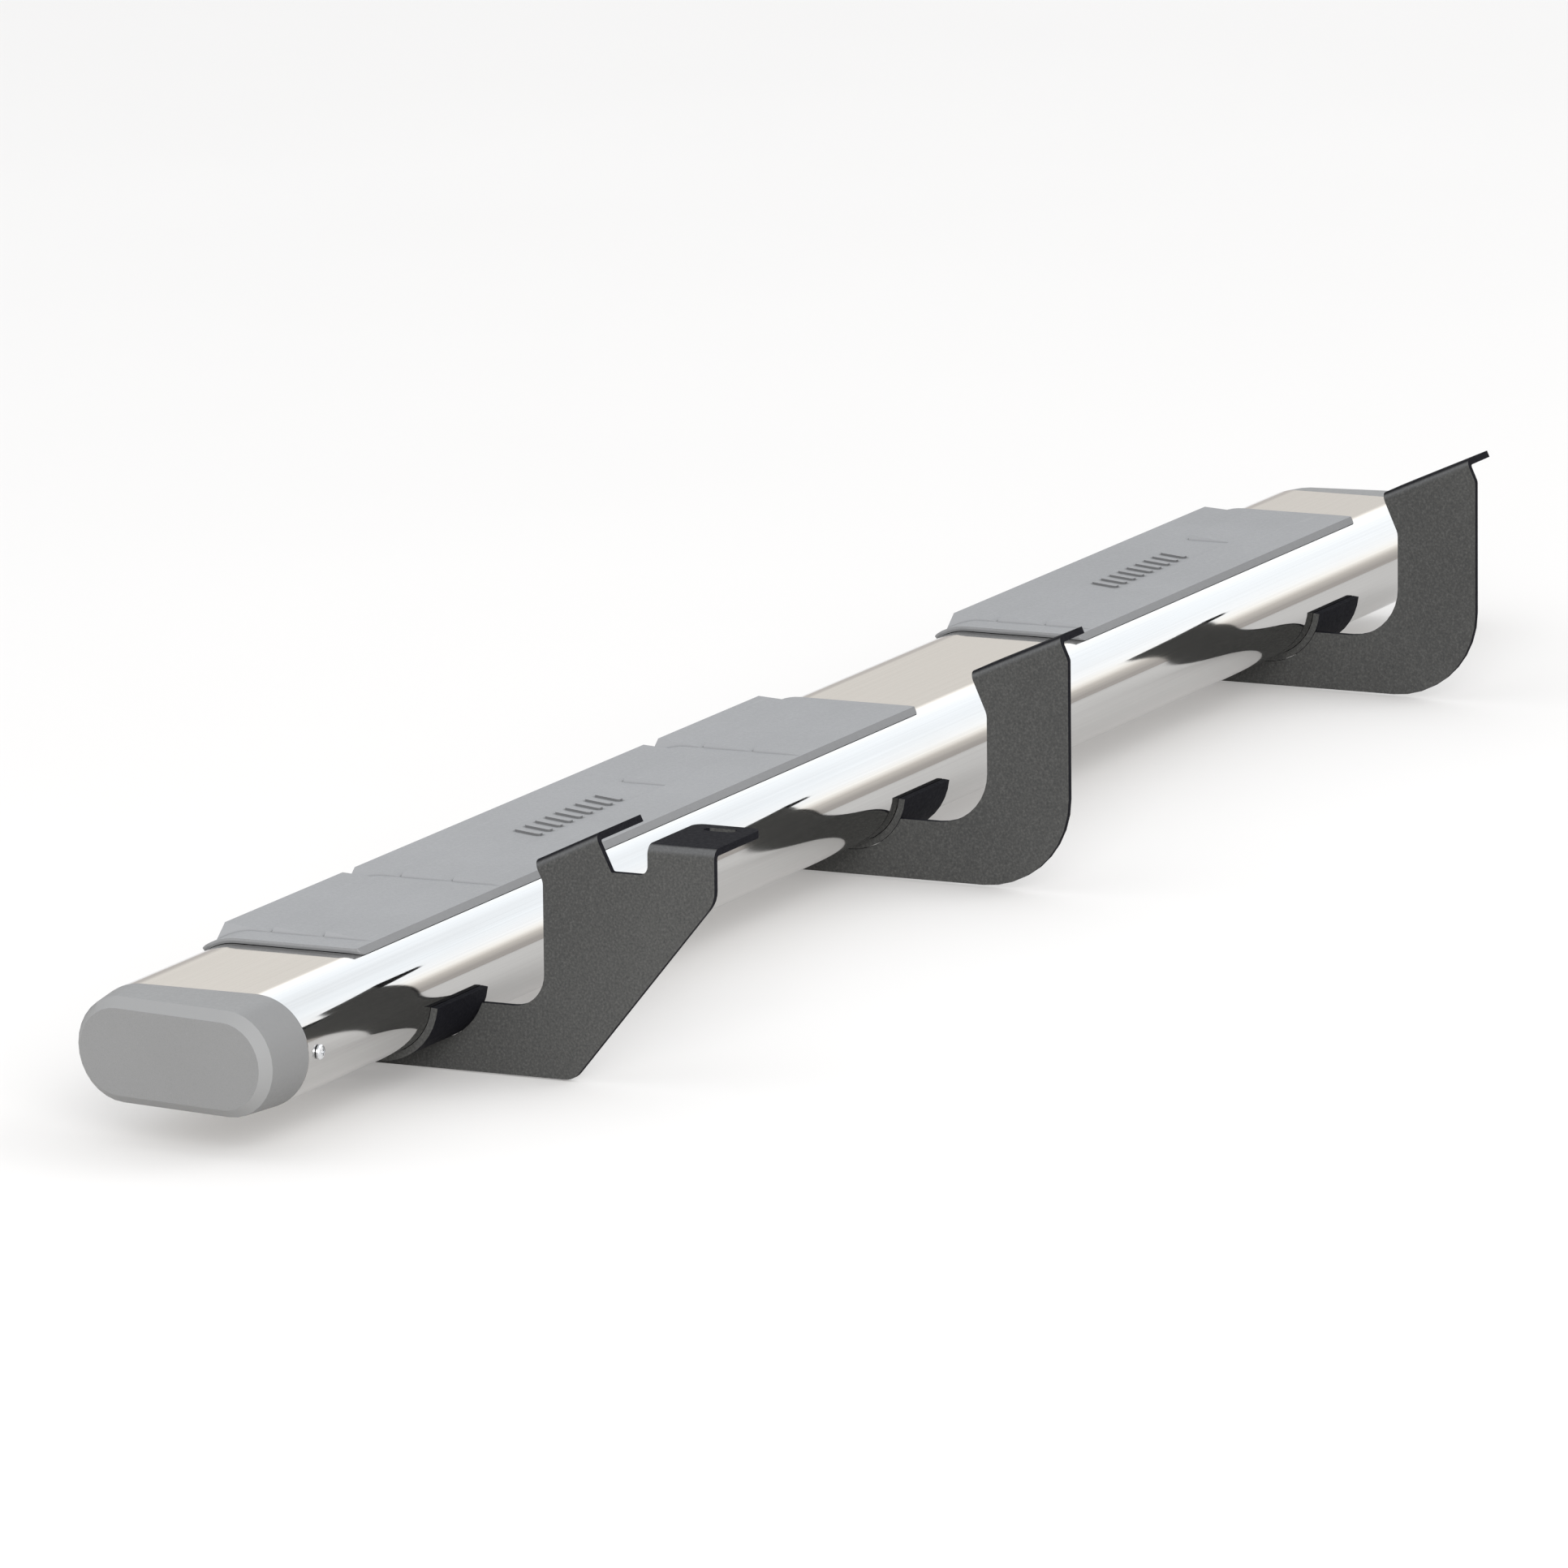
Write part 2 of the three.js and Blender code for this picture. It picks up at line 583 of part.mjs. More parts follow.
function makeSaddle(bracket) {
  const { edge, reach } = bracket;
  const top = ROUND + GAP;
  const section = [
    [SADDLE_OUTER_END, SADDLE_TOP],
    ...arc(-FLAT, 0, top, 270, 270 - SADDLE_LIP_ANGLE, 9),
    ...arc(-FLAT, 0, LIP_OUTSIDE, 270 - SADDLE_LIP_ANGLE, 270, 9),
    [SADDLE_OUTER_END, SADDLE_BOTTOM],
  ].reverse();
  const from = Math.min(edge, edge + reach * SADDLE_LENGTH);
  let saddle = alongX(section, from, from + SADDLE_LENGTH);
  slotRows(bracket).forEach((x) => [BOLTED_LINE, SPARE_LINE].forEach((line) => {
    const place = new THREE.Matrix4().setPosition(x, line, SADDLE_BOTTOM - 5);
    saddle = saddle.subtract(prism(slotOutline(0, 0, SADDLE_SLOT_LENGTH), 20, place));
  }));
  return saddle;
}

BRACKETS.forEach((bracket) => {
  const web = bracket.name === 'front' ? makeFrontWeb(bracket.web) : makeHookWeb(bracket.web);
  addPiece(`bracket_web_${bracket.name}`, web, blackPowderCoat());
  addPiece(`bracket_saddle_${bracket.name}`, makeSaddle(bracket), blackPowderCoat());
});

// ---------------------------------------------------------------- bolts, washers and inserts

const WASHER = 1.6;
const LOCK_WASHER = 2.0;
const BOLT_HEAD = 5.3;

const washerTop = SADDLE_BOTTOM - GAP;
const lockTop = washerTop - WASHER - GAP;
const headTop = lockTop - LOCK_WASHER - GAP;

function makeWasher(outer, height, x, y, top) {
  const inner = BOLT_RADIUS + GAP;
  const profile = [[inner, -height], [outer, -height], [outer, 0], [inner, 0], [inner, -height]];
  return turned(profile, [0, 0, 1], [x, y, top], 14);
}

function makeLockWasher(x, y) {
  const middle = lockTop - LOCK_WASHER / 2;
  const split = new THREE.Matrix4().makeRotationX(radians(20)).setPosition(x + 5.6, y, middle);
  return makeWasher(6.6, LOCK_WASHER, x, y, lockTop)
    .subtract(solidOf(new THREE.BoxGeometry(5, 1.2, 8), split));
}

function makeBolt(x, y) {
  const head = new THREE.CylinderGeometry(7.5, 7.5, BOLT_HEAD, 6);
  const upright = frameMatrix([1, 0, 0], [0, 0, 1], [0, -1, 0], [x, y, headTop - BOLT_HEAD / 2]);
  const length = 11 - ROUND - headTop;
  const shank = [
    [0, -2], [BOLT_RADIUS, -2], [BOLT_RADIUS, length - 1.2], [BOLT_RADIUS - 1, length], [0, length],
  ];
  return solidOf(head, upright).add(turned(shank, [0, 0, 1], [x, y, headTop], 14));
}

// threaded insert pulled up in the tube's floor: flush below, bulged just above the wall
function makeInsert(x, y) {
  const bore = BOLT_RADIUS + GAP;
  const wallTop = TUBE_WALL + GAP;
  const profile = [
    [bore, 0], [5.5, 0], [5.5, wallTop], [7.6, wallTop + 1],
    [5.5, wallTop + 4], [5.5, 15], [bore, 15], [bore, 0],
  ];
  return turned(profile, [0, 0, 1], [x, y, -ROUND], 12);
}

bolts.forEach(({ name, x, y }) => {
  addPiece(`bolt_${name}`, makeBolt(x, y), zincSteel());
  addPiece(`lock_washer_${name}`, makeLockWasher(x, y), zincSteel());
  addPiece(`flat_washer_${name}`, makeWasher(8, WASHER, x, y, washerTop), zincSteel());
  addPiece(`threaded_insert_${name}`, makeInsert(x, y), zincSteel());
});

const runningBoard = new THREE.Group();
runningBoard.add(board);

export default runningBoard;
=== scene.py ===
"""Looks for the oval-tube running board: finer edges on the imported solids, materials, studio and camera.

Everything is in metres, in the part's own frame: +X runs rearward along the board, +Y points away
from the vehicle and +Z is up.
"""
import json
import math

import bmesh
import bpy
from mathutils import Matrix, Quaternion, Vector


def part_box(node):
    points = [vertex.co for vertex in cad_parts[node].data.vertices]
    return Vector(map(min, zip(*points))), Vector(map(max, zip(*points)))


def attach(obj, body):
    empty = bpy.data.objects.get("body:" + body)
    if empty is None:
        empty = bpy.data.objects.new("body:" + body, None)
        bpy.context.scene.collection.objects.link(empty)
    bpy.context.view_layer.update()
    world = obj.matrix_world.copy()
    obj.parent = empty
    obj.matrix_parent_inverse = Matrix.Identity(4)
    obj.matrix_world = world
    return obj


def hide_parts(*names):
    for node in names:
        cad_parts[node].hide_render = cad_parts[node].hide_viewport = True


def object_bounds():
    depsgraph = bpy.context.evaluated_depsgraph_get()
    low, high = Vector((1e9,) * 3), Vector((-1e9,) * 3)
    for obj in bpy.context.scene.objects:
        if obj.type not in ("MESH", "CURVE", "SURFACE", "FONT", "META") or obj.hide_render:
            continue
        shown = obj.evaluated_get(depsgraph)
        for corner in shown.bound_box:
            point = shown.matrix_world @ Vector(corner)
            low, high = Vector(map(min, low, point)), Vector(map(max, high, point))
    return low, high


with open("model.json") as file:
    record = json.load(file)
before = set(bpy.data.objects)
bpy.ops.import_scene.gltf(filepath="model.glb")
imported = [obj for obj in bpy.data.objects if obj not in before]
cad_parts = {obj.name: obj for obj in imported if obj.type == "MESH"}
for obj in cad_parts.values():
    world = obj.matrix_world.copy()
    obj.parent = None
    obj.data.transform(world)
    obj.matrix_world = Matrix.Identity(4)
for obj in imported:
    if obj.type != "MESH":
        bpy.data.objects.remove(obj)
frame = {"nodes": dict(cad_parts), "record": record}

MM = 0.001
CAD_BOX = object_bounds()
LOWEST, HIGHEST = CAD_BOX
CENTRE = (LOWEST + HIGHEST) / 2

# ---------------------------------------------------------------- driving values

# the camera stands in front of the board, on the vehicle side, and looks slightly down
CAMERA_AZIMUTH = 24.62              # degrees, as are all the angles here
CAMERA_ELEVATION = 11.39
CAMERA_DISTANCE = 10.09
CAMERA_ROLL = -0.6
BOARD_SHARE_OF_FRAME = 0.9
SENSOR_WIDTH = 36.0                 # in the millimetres that Blender's lenses use

FLOOR_HALF = 60.0
FLOOR_GAP = 1.0 * MM                # between the floor and the brackets' lowest edges
FLOOR_GLOW = 0.275                  # the studio's table is lit a little from below
LEANED_UP = (0.0, -0.07, 1.0)       # the studio's up, leaned a little towards the vehicle
BEYOND_BOARD = (0.8, 0.6, 0.0)      # level, and roughly away from the camera
RAMP_START = -0.1                   # the sine of the elevation at which the studio's colours start

TUBE_WALL = 2.0 * MM
TUBE_ROUND_STEPS = 48               # straight steps that draw each of the tube's two round edges
CREASE_SHADE_REACH = 2.5 * MM             # how near to a corner the polymer gets painted shade

# the width of the broken edge on each kind of piece
EDGE_PLATE = 0.55 * MM
EDGE_PAD = 0.5 * MM
EDGE_CAP = 1.3 * MM
EDGE_HARDWARE = 0.25 * MM
EDGE_LEAST_TURN = 28.0              # an edge that turns by less than this stays as it is
SAME_POINT = 0.002 * MM
SAME_PLANE = 0.4                    # faces that turn by less than this become one
FLAT_WEIGHT = 80                    # how strongly broad faces hold their neighbours' shading flat


# ---------------------------------------------------------------- shader helpers

def linked(tree, kind, links=(), **values):
    """Adds a node and sets its attributes. Each pair in links is a socket and what it gets: a source
    socket or a plain value.
    """
    node = tree.nodes.new(kind)
    for name, value in values.items():
        setattr(node, name, value)
    for socket, source in links:
        if isinstance(source, bpy.types.NodeSocket):
            tree.links.new(source, node.inputs[socket])
        else:
            node.inputs[socket].default_value = source
    return node


def new_material(name, **surface):
    """A material with a Principled surface whose uniform values are set on its own sockets."""
    material = bpy.data.materials.new(name)
    material.use_nodes = True
    tree = material.node_tree
    shader = tree.nodes["Principled BSDF"]
    for socket, value in surface.items():
        shader.inputs[socket.replace("_", " ")].default_value = value
    place = tree.nodes.new("ShaderNodeTexCoord").outputs["Object"]
    return material, tree, shader, place


def stretched(tree, place, scale):
    """The object's own coordinates, stretched by a different amount along each axis."""
    mapping = linked(tree, "ShaderNodeMapping", [("Vector", place), ("Scale", scale)])
    return mapping.outputs["Vector"]


def noise(tree, vector, scale, detail=3.0, roughness=0.55):
    links = [("Vector", vector), ("Scale", scale), ("Detail", detail), ("Roughness", roughness)]
    return linked(tree, "ShaderNodeTexNoise", links).outputs["Fac"]


def between(tree, factor, low, high, start=0.3, end=0.7):
    """Maps the part of a pattern from start to end onto the values from low to high."""
    links = [("Value", factor), ("From Min", start), ("From Max", end), ("To Min", low), ("To Max", high)]
    return linked(tree, "ShaderNodeMapRange", links).outputs["Result"]


def math_node(tree, operation, *operands):
    """The result of one sum on sockets or plain numbers."""
    return linked(tree, "ShaderNodeMath", list(enumerate(operands)), operation=operation).outputs[0]


def face_directions(tree):
    """How far each face looks along the board and across it, and the signed amount across it."""
    facing = tree.nodes.new("ShaderNodeNewGeometry").outputs["Normal"]
    split = linked(tree, "ShaderNodeSeparateXYZ", [("Vector", facing)])
    along = math_node(tree, "ABSOLUTE", split.outputs["X"])
    return along, math_node(tree, "ABSOLUTE", split.outputs["Y"]), split.outputs["Y"]


def scaled(colour, factor):
    """A colour made darker or lighter, kept in range and opaque."""
    return tuple(min(1.0, channel * factor) for channel in colour[:3]) + (1,)


def blended(tree, factor, first, second):
    """Mixes two colours by a pattern. Each may be a plain colour or a socket."""
    node = linked(tree, "ShaderNodeMix", data_type="RGBA")
    for socket, value in ((0, factor), (6, first), (7, second)):
        if isinstance(value, bpy.types.NodeSocket):
            tree.links.new(value, node.inputs[socket])
        else:
            node.inputs[socket].default_value = value
    return node.outputs[2]


def bumped(tree, shader, layers):
    """Stacks (height socket, distance in metres, strength) layers of bump onto the surface."""
    normal = None
    for height, distance, strength in layers:
        links = [("Height", height), ("Distance", distance), ("Strength", strength)]
        if normal is not None:
            links.append(("Normal", normal))
        normal = linked(tree, "ShaderNodeBump", links).outputs["Normal"]
    tree.links.new(normal, shader.inputs["Normal"])


# ---------------------------------------------------------------- materials

def polished_steel():
    """Mirror-polished stainless tube: long faint polishing lines and a few soft smudges."""
    material, tree, shader, place = new_material("polished_steel", Metallic=1.0)
    lines = noise(tree, stretched(tree, place, (3.0, 900.0, 900.0)), 1.0, detail=4.0)
    fine = noise(tree, stretched(tree, place, (14.0, 3200.0, 3200.0)), 1.0, detail=2.0)
    smudges = noise(tree, stretched(tree, place, (5.0, 14.0, 14.0)), 1.0, detail=5.0)
    tone = blended(tree, between(tree, lines, 0.0, 1.0), (0.465, 0.458, 0.45, 1), (0.50, 0.495, 0.485, 1))
    tone = blended(tree, between(tree, smudges, 0.0, 0.35, 0.5, 0.8), tone, (0.43, 0.42, 0.405, 1))
    tree.links.new(tone, shader.inputs["Base Color"])
    roughness = math_node(
        tree, "ADD", between(tree, lines, 0.05, 0.075), between(tree, smudges, 0.0, 0.05, 0.5, 0.8))
    tree.links.new(roughness, shader.inputs["Roughness"])
    bumped(tree, shader, [(lines, 0.012 * MM, 0.2), (fine, 0.006 * MM, 0.15)])
    return material


def moulded_polymer(name, dark, light, grain_depth, roughness, wall_shade, leaning_highlight):
    """Moulded polymer: a fine spark-eroded grain, slight mottling, scuffs along the board, painted shade in
    creases.

    The side faces that look towards the vehicle get painted shade, and the faces that lean along the
    board get a painted highlight: two factors multiply the tone there.
    """
    material, tree, shader, place = new_material(name, Specular_IOR_Level=0.12)
    grain = noise(tree, place, 1500.0, detail=2.0)
    coarse = noise(tree, place, 420.0, detail=3.0)
    mottle = noise(tree, place, 9.0, detail=4.0)
    scuffs = noise(tree, stretched(tree, place, (22.0, 620.0, 620.0)), 1.0, detail=3.0)
    tone = blended(tree, between(tree, mottle, 0.0, 1.0), dark, light)
    tone = blended(tree, between(tree, scuffs, 0.0, 0.45, 0.62, 0.78), tone, scaled(light, 1.22))
    tone = blended(tree, between(tree, grain, 0.35, 0.0, 0.30, 0.5), tone, scaled(dark, 0.78))

    # painted shade: the side faces that look towards the vehicle are darkened
    along, _, outward = face_directions(tree)
    tone = blended(tree, between(tree, outward, 1.0, 0.0, -0.45, -0.2), tone, scaled(dark, wall_shade))
    # painted highlight: faces that lean along the board, between level and upright, are lightened
    off_level = between(tree, along, 0.0, 1.0, 0.25, 0.45)
    off_upright = between(tree, along, 1.0, 0.0, 0.8, 0.95)
    slant_highlight = math_node(tree, "MULTIPLY", off_level, off_upright)
    tone = blended(tree, slant_highlight, tone, scaled(light, leaning_highlight))

    # painted shade: the polymer is darkened in creases and corners, where occlusion is found
    corner = linked(tree, "ShaderNodeAmbientOcclusion", [("Distance", CREASE_SHADE_REACH)], samples=16)
    crease_shade = between(tree, corner.outputs["AO"], 0.7, 0.0, 0.84, 0.98)
    tone = blended(tree, crease_shade, tone, scaled(dark, 0.5))
    tree.links.new(tone, shader.inputs["Base Color"])
    tree.links.new(between(tree, coarse, roughness - 0.07, roughness + 0.08), shader.inputs["Roughness"])
    bumped(tree, shader, [(coarse, grain_depth, 0.5), (grain, grain_depth * 0.5, 0.45)])
    return material


def powder_coat():
    """Textured charcoal powder coat: orange-peel bump, pale speckle and a slight tonal drift.

    The broad plate faces get painted light and show the speckle. Flanges and cut edges get painted
    shade and are near black, and the fold of the level tab, which looks ahead and up, gets a painted
    highlight and is the palest.
    """
    material, tree, shader, place = new_material("powder_coat", Specular_IOR_Level=0.02)
    speckle = noise(tree, place, 640.0, detail=2.5, roughness=0.6)
    peel = noise(tree, place, 300.0, detail=2.0)
    drift = noise(tree, place, 7.0, detail=3.0)
    charcoal, pale_charcoal = (0.062, 0.062, 0.0603, 1), (0.072, 0.072, 0.0695, 1)
    # painted shade colours for the flanges and cut edges
    black, soft_black = (0.006, 0.006, 0.008, 1), (0.013, 0.013, 0.016, 1)
    tone = blended(tree, between(tree, drift, 0.0, 1.0), charcoal, pale_charcoal)
    tone = blended(tree, between(tree, speckle, 0.0, 0.6, 0.50, 0.72), tone, (0.115, 0.114, 0.110, 1))
    tone = blended(tree, between(tree, speckle, 0.6, 0.0, 0.28, 0.46), tone, (0.042, 0.042, 0.043, 1))

    # painted light and shade: faces that look along the board keep the lighter speckled tone, the rest is
    # painted near black
    along, across, _ = face_directions(tree)
    broad = math_node(tree, "SUBTRACT", along, across)
    edges = blended(tree, between(tree, speckle, 0.0, 1.0), black, soft_black)
    tone = blended(tree, between(tree, broad, 0.0, 1.0, 0.15, 0.55), edges, tone)
    # painted highlight on the fold of the level tab, which looks ahead and up
    off_flange = between(tree, broad, 0.0, 0.4, 0.3, 0.55)
    off_web = between(tree, along, 1.0, 0.0, 0.86, 0.985)
    bend_highlight = math_node(tree, "MULTIPLY", off_flange, off_web)
    tone = blended(tree, bend_highlight, tone, (0.15, 0.152, 0.158, 1))

    tree.links.new(tone, shader.inputs["Base Color"])
    tree.links.new(between(tree, peel, 0.60, 0.75), shader.inputs["Roughness"])
    bumped(tree, shader, [(peel, 0.12 * MM, 0.55), (speckle, 0.08 * MM, 0.6)])
    return material


def zinc_plate():
    """Bright zinc plate on the hardware: cloudy crystals over a soft metal shine."""
    material, tree, shader, place = new_material("zinc_plate", Metallic=1.0)
    cloud = noise(tree, place, 260.0, detail=4.0)
    grain = noise(tree, place, 2200.0, detail=2.0)
    tone = blended(tree, between(tree, cloud, 0.0, 1.0), (0.60, 0.61, 0.63, 1), (0.80, 0.81, 0.82, 1))
    tree.links.new(tone, shader.inputs["Base Color"])
    tree.links.new(between(tree, cloud, 0.24, 0.38), shader.inputs["Roughness"])
    bumped(tree, shader, [(grain, 0.02 * MM, 0.4)])
    return material


def clip_nylon():
    """Black nylon of the push-in clips."""
    material, tree, shader, place = new_material("clip_nylon", Specular_IOR_Level=0.45)
    mottle = noise(tree, place, 340.0, detail=3.0)
    tone = blended(tree, between(tree, mottle, 0.0, 1.0), (0.018, 0.018, 0.019, 1), (0.032, 0.032, 0.034, 1))
    tree.links.new(tone, shader.inputs["Base Color"])
    tree.links.new(between(tree, mottle, 0.38, 0.5), shader.inputs["Roughness"])
    bumped(tree, shader, [(mottle, 0.03 * MM, 0.4)])
    return material


MATERIALS = {
    "polished_steel": polished_steel(),
    # the last two numbers of each set the painted shade on the vehicle-side faces and the painted highlight
    # on the faces that lean along the board
    "pad_polymer": moulded_polymer(
        "pad_polymer", (0.256, 0.2575, 0.261, 1), (0.274, 0.2755, 0.280, 1), 0.06 * MM, 0.6, 0.76, 1.07),
    "cap_polymer": moulded_polymer(
        "cap_polymer", (0.220, 0.220, 0.219, 1), (0.236, 0.236, 0.235, 1), 0.04 * MM, 0.55, 0.92, 1.14),
    "powder_coat": powder_coat(),
    "zinc_steel": zinc_plate(),
    "clip_nylon": clip_nylon(),
}
SLOT_OF = {part["node"]: part["material_slot"] for part in frame["record"]["subparts"]}


# ---------------------------------------------------------------- pieces

def stands_for(piece, node):
    """Hangs a piece under the root body and hides the CAD node that it stands for."""
    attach(piece, "root")
    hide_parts(node)


def new_piece(name, mesh, material):
    piece = bpy.data.objects.new(name, mesh)
    bpy.context.scene.collection.objects.link(piece)
    mesh.materials.clear()
    mesh.materials.append(material)
    for polygon in mesh.polygons:
        polygon.use_smooth = True
    return piece


def break_edges(piece, width):
    """Rounds the sharp edges of a piece a little."""
    bevel = piece.modifiers.new("edges", "BEVEL")
    bevel.width = width
    bevel.segments = 2
    bevel.limit_method = "ANGLE"
    bevel.angle_limit = math.radians(EDGE_LEAST_TURN)
    bevel.use_clamp_overlap = True


def flatten_shading(piece):
    """Keeps the broad faces of a smooth-shaded piece flat."""
    flat = piece.modifiers.new("shading", "WEIGHTED_NORMAL")
    flat.weight = FLAT_WEIGHT
    flat.keep_sharp = False


def refined(node, width):
    """A finished copy of one CAD node: flat faces joined up again, edges broken as on the real piece."""
    mesh = frame["nodes"][node].data.copy()
    work = bmesh.new()
    work.from_mesh(mesh)
    bmesh.ops.remove_doubles(work, verts=work.verts, dist=SAME_POINT)
    bmesh.ops.dissolve_limit(
        work, angle_limit=math.radians(SAME_PLANE), verts=work.verts, edges=work.edges)
    work.to_mesh(mesh)
    work.free()
    piece = new_piece(f"{node}_finish", mesh, MATERIALS[SLOT_OF[node]])
    break_edges(piece, width)
    flatten_shading(piece)
    stands_for(piece, node)


def oval_ring(half_width, radius, steps):
    """The tube's section as (y, z) points: two half circles joined by flats."""
    reach = half_width - radius
    points = []
    for side in (1, -1):
        for step in range(steps + 1):
            angle = side * math.pi * (step / steps - 0.5)
            points.append((side * (reach + radius * math.cos(angle)), radius * math.sin(angle)))
    return points


def smooth_tube(node):
    """The tube drawn again with fine round edges, so that its reflections run smoothly."""
    low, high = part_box(node)
    middle_y, middle_z = (low.y + high.y) / 2, (low.z + high.z) / 2
    half_width, radius = (high.y - low.y) / 2, (high.z - low.z) / 2
    work = bmesh.new()
    rims = []
    for inset in (0.0, TUBE_WALL):
        for x in (low.x, high.x):
            ring = oval_ring(half_width - inset, radius - inset, TUBE_ROUND_STEPS)
            rims.append([work.verts.new((x, middle_y + y, middle_z + z)) for y, z in ring])
    outer_front, outer_rear, inner_front, inner_rear = rims
    strips = (
        (outer_front, outer_rear),
        (outer_rear, inner_rear),
        (inner_rear, inner_front),
        (inner_front, outer_front),
    )
    count = len(outer_front)
    for first, second in strips:
        for i in range(count):
            k = (i + 1) % count
            work.faces.new((first[i], first[k], second[k], second[i]))
    bmesh.ops.recalc_face_normals(work, faces=work.faces)
    mesh = bpy.data.meshes.new(f"{node}_finish")
    work.to_mesh(mesh)
    work.free()
    piece = new_piece(f"{node}_finish", mesh, MATERIALS[SLOT_OF[node]])
    flatten_shading(piece)
    stands_for(piece, node)


EDGE_WIDTHS = (
    ("bracket_", EDGE_PLATE),
    ("step_pad_", EDGE_PAD),
    ("end_cap_", EDGE_CAP),
    ("cap_screw_", EDGE_HARDWARE),
    ("bolt_", EDGE_HARDWARE),
    ("flat_washer_", EDGE_HARDWARE),
    ("lock_washer_", EDGE_HARDWARE),
)

for node_name in sorted(frame["nodes"]):
    width = next((value for prefix, value in EDGE_WIDTHS if node_name.startswith(prefix)), None)
    if node_name == "tube":
        smooth_tube(node_name)
    elif width is not None:
        refined(node_name, width)
    else:
        cad_mesh = frame["nodes"][node_name].data
        cad_mesh.materials.clear()
        cad_mesh.materials.append(MATERIALS[SLOT_OF[node_name]])


# ---------------------------------------------------------------- studio

def make_floor():
    """A plain pale table under the brackets' lowest edges, lit a little from below."""
    mesh = bpy.data.meshes.new("studio_floor")
    level = LOWEST.z - FLOOR_GAP
    corners = [(FLOOR_HALF * x, FLOOR_HALF * y) for x, y in ((-1, -1), (1, -1), (1, 1), (-1, 1))]
    mesh.from_pydata([(CENTRE.x + x, CENTRE.y + y, level) for x, y in corners], [], [(0, 1, 2, 3)])
    material, tree, shader, place = new_material("studio_floor", Roughness=0.9, Specular_IOR_Level=0.1)
    cloud = noise(tree, place, 1.5, detail=2.0)
    tone = blended(tree, cloud, (0.52, 0.51, 0.50, 1), (0.54, 0.53, 0.52, 1))
    tree.links.new(tone, shader.inputs["Base Color"])
    shader.inputs["Emission Color"].default_value = (1.0, 0.982, 0.963, 1)
    shader.inputs["Emission Strength"].default_value = FLOOR_GLOW
    floor = bpy.data.objects.new("studio_floor", mesh)
    bpy.context.scene.collection.objects.link(floor)
    mesh.materials.append(material)


def how_far_along(tree, direction, axis):
    """How far a direction points along an axis, as a socket."""
    dot = linked(tree, "ShaderNodeVectorMath", [(0, direction), (1, axis)], operation="DOT_PRODUCT")
    return dot.outputs["Value"]


def make_world():
    """Soft studio surroundings: a warm dim horizon, a bright band above it and a cool, calmer zenith."""
    world = bpy.data.worlds.new("studio")
    world.use_nodes = True
    tree = world.node_tree
    direction = tree.nodes.new("ShaderNodeTexCoord").outputs["Generated"]
    height = how_far_along(tree, direction, LEANED_UP)
    share = between(tree, height, 0.0, 1.0, RAMP_START, RAMP_START + 1.0)
    ramp = linked(tree, "ShaderNodeValToRGB", [("Fac", share)])
    # (sine of the elevation, colour): the tube's top and its round edges each mirror a few of these
    stops = (
        (0.00, (0.66, 0.62, 0.59)),
        (0.09, (0.70, 0.665, 0.635)),
        (0.18, (1.03, 0.985, 0.92)),
        (0.22, (1.46, 1.40, 1.32)),
        (0.26, (1.86, 1.84, 1.78)),
        (0.33, (1.84, 1.88, 1.92)),
        (0.45, (1.70, 1.79, 1.88)),
        (0.60, (1.30, 1.34, 1.39)),
        (0.90, (1.05, 1.07, 1.10)),
    )
    elements = ramp.color_ramp.elements
    for i, (sine, colour) in enumerate(stops):
        element = elements[i] if i < len(elements) else elements.new(1.0)
        element.position = sine - RAMP_START
        element.color = (*colour, 1)
    # dimmer on the camera's side, so that the faces that look at the camera don't wash out
    beyond = how_far_along(tree, direction, BEYOND_BOARD)
    background = tree.nodes["Background"]
    tree.links.new(ramp.outputs["Color"], background.inputs["Color"])
    tree.links.new(between(tree, beyond, 0.42, 1.0, -0.8, 0.1), background.inputs["Strength"])
    bpy.context.scene.world = world


def away_from_board(azimuth, elevation):
    """The direction from the board's middle at these angles. Azimuth 0 is ahead of it, towards -X."""
    turn, rise = math.radians(azimuth), math.radians(elevation)
    return Vector((
        -math.cos(turn) * math.cos(rise),
        -math.sin(turn) * math.cos(rise),
        math.sin(rise),
    ))


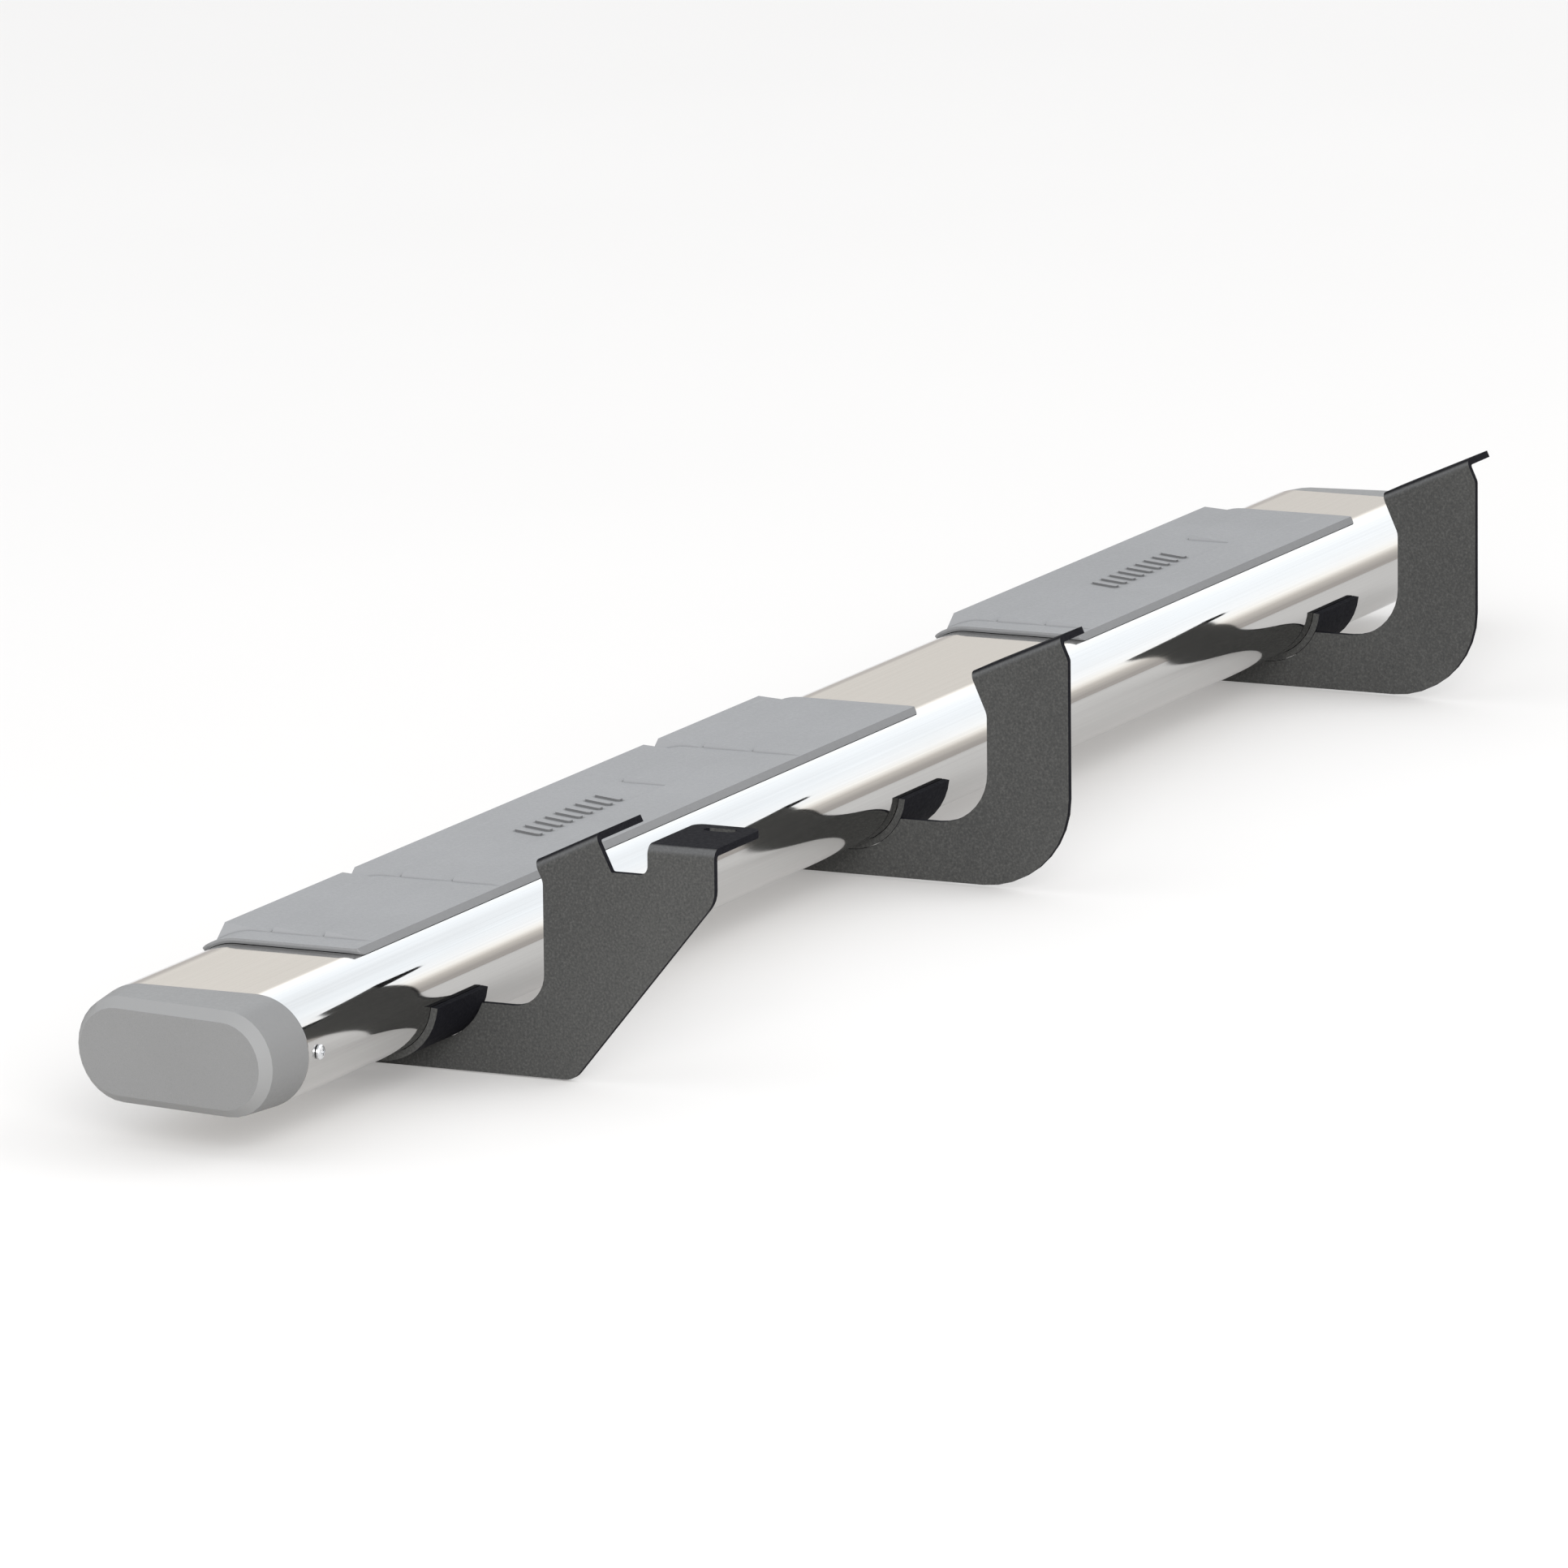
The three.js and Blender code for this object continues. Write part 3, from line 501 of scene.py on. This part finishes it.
def area_light(name, azimuth, elevation, distance, size, power):
    """A square soft light aimed at the board's middle."""
    away = away_from_board(azimuth, elevation)
    data = bpy.data.lights.new(name, "AREA")
    data.size = size
    data.energy = power
    light = bpy.data.objects.new(name, data)
    light.location = CENTRE + away * distance
    light.rotation_mode = "QUATERNION"
    light.rotation_quaternion = (-away).to_track_quat("-Z", "Y")
    bpy.context.scene.collection.objects.link(light)


def spread_in_view(rotation, place):
    """The least and greatest slope to the right and upwards at which the object is seen."""
    right, up, back = (rotation @ Vector(axis) for axis in ((1, 0, 0), (0, 1, 0), (0, 0, 1)))
    slopes = []
    for node in frame["nodes"].values():
        for vertex in node.data.vertices:
            ray = vertex.co - place
            depth = -ray.dot(back)
            slopes.append((ray.dot(right) / depth, ray.dot(up) / depth))
    return [(min(values), max(values)) for values in zip(*slopes)]


def make_camera():
    """Places the camera by angle and distance, centres the board, and picks the lens that fits it."""
    data = bpy.data.cameras.new("photo_camera")
    camera = bpy.data.objects.new("photo_camera", data)
    bpy.context.scene.collection.objects.link(camera)
    place = CENTRE + away_from_board(CAMERA_AZIMUTH, CAMERA_ELEVATION) * CAMERA_DISTANCE
    look = CENTRE - place
    for _ in range(3):  # turning towards the middle of what is seen changes it a little
        rotation = look.to_track_quat("-Z", "Y") @ Quaternion((0, 0, 1), math.radians(CAMERA_ROLL))
        (left, right), (low, high) = spread_in_view(rotation, place)
        look = rotation @ Vector(((left + right) / 2, (low + high) / 2, -1.0))
    camera.location = place
    camera.rotation_mode = "QUATERNION"
    camera.rotation_quaternion = rotation
    data.sensor_width = SENSOR_WIDTH
    data.lens = data.sensor_width * BOARD_SHARE_OF_FRAME / (right - left)
    data.clip_end = 200.0
    data.dof.use_dof = False
    bpy.context.scene.camera = camera


make_floor()
make_world()
area_light("key", azimuth=28, elevation=22, distance=7.0, size=3.5, power=330)
area_light("fill", azimuth=120, elevation=40, distance=7.0, size=4.0, power=100)
make_camera()
bpy.context.scene.view_settings.view_transform = "Standard"
